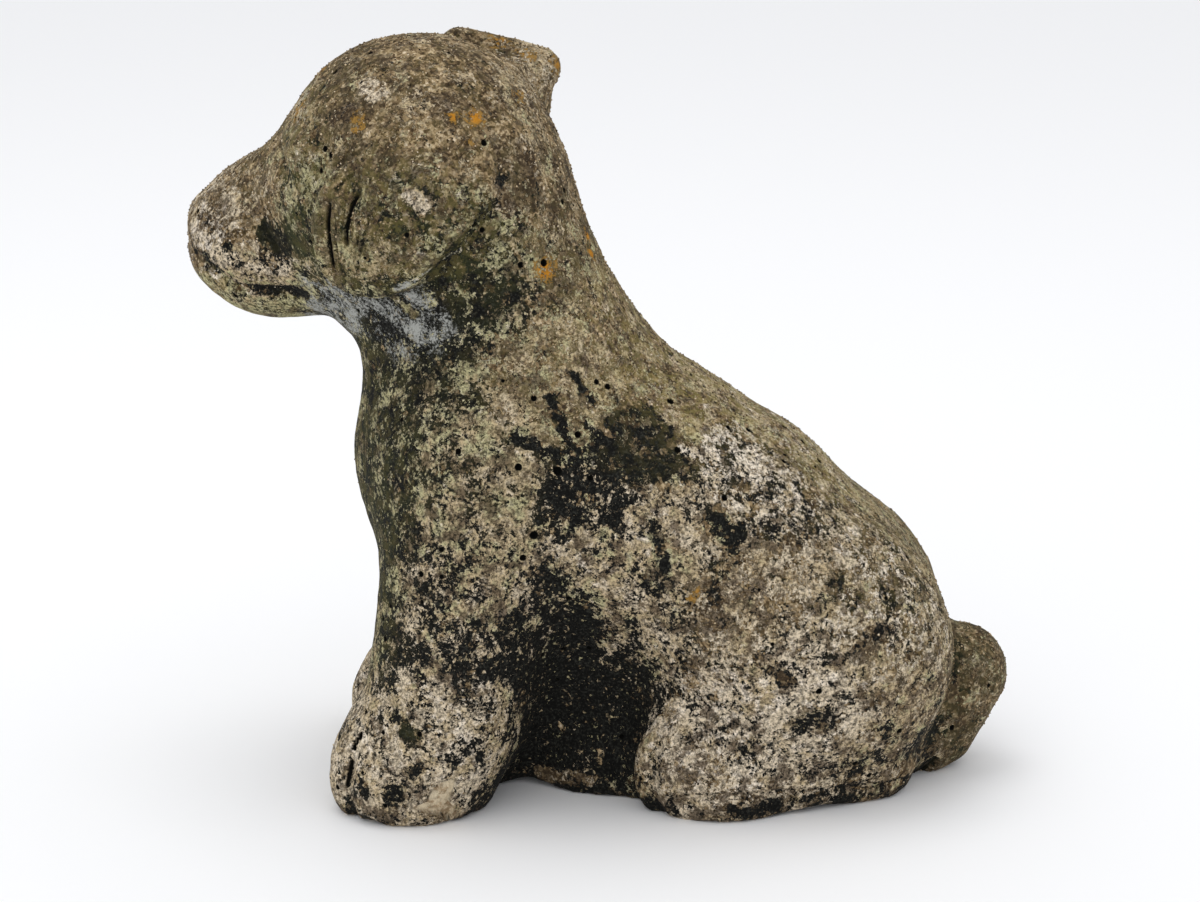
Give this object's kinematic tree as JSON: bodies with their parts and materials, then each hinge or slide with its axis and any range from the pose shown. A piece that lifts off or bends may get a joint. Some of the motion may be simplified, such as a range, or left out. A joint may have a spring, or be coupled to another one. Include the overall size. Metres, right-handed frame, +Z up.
{
  "type": "puppy garden statue",
  "caption": "Weathered cast-stone puppy sitting with its head turned aside, a garden ornament that stands on its flat underside.",
  "frame": {"origin": "on the ground under the middle of the statue's bounding box", "axes": "+Z up, the puppy faces -X, its left side is at -Y"},
  "size_m": [0.2832, 0.1272, 0.254],
  "materials": {
    "weathered_concrete": "matte, sandy, pitted, with lichen crusts and a dark film"
  },
  "bodies": {
    "root": {"puppy": "weathered_concrete"}
  },
  "joints": []
}
